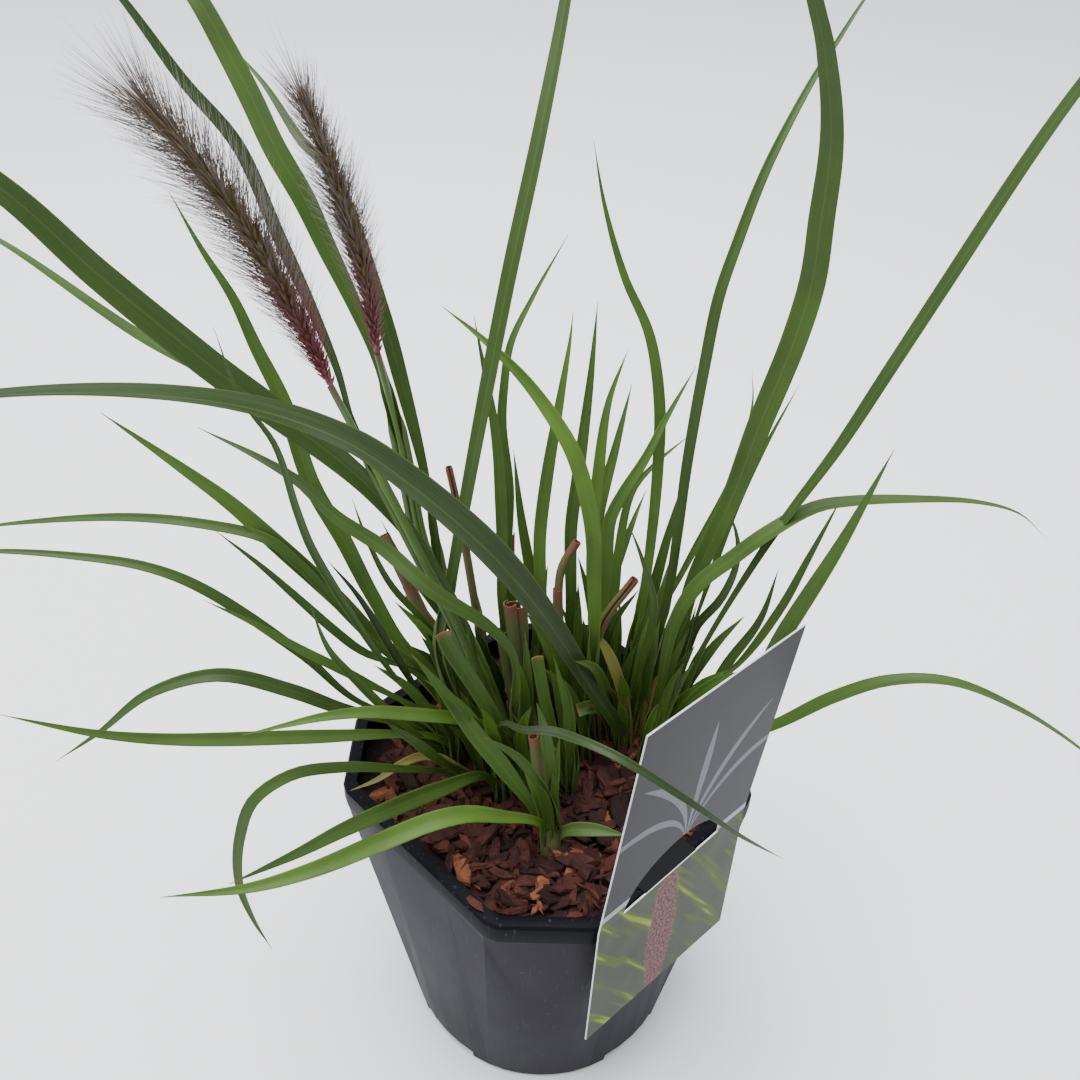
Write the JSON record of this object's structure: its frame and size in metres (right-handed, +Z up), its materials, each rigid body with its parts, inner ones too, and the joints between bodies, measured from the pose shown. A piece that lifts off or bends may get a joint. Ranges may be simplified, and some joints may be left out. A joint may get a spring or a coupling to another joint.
{
  "type": "potted ornamental grass",
  "caption": "Potted fountain grass: arching keeled leaves, two bristly purple plumes and cut stems in a cut-corner square pot with bark mulch and a slotted picture card.",
  "frame": {"origin": "centre of the pot's flat underside", "axes": "+Z up; -Y towards the side seen first, where one of the pot's short cut corners faces; +X to the right of that view"},
  "size_m": [0.5056, 0.2507, 0.5362],
  "materials": {
    "pot_plastic": "semi-gloss",
    "soil": "matte",
    "bark": "rough",
    "pale_bark": "rough",
    "card": "satin",
    "leaf": "satin",
    "plume": "matte",
    "dry_stem": "matte"
  },
  "bodies": {
    "root": {"pot": "pot_plastic", "root_ball": "soil", "bark_mulch": "bark", "loose_chip_front": "pale_bark", "loose_chip_left": "pale_bark", "picture_card": "card", "tiller_left_tall": "leaf", "tiller_left_back": "leaf", "tiller_left_low": "leaf", "tiller_left_inner": "leaf", "tiller_middle_left": "leaf", "tiller_low_front_left": "leaf", "tiller_middle_front": "leaf", "tiller_kinked": "leaf", "tiller_centre_left": "leaf", "tiller_centre_inner": "leaf", "tiller_centre": "leaf", "tiller_centre_right": "leaf", "tiller_right_middle": "leaf", "tiller_arching_left": "leaf", "tiller_broad_left": "leaf", "tiller_back_right": "leaf", "tiller_right_tall": "leaf", "tiller_right_broad": "leaf", "tiller_right_long": "leaf", "tiller_right_low": "leaf", "tiller_front": "leaf", "tiller_front_right": "leaf", "culm_tall": "leaf", "culm_short": "leaf", "plume_tall": "plume", "plume_short": "plume", "cut_stem_left_tall": "dry_stem", "cut_stem_left": "dry_stem", "cut_stem_low": "dry_stem", "cut_stem_back": "dry_stem", "cut_stem_centre": "dry_stem", "cut_stem_leaning": "dry_stem", "cut_sheaths": "dry_stem"}
  },
  "joints": []
}
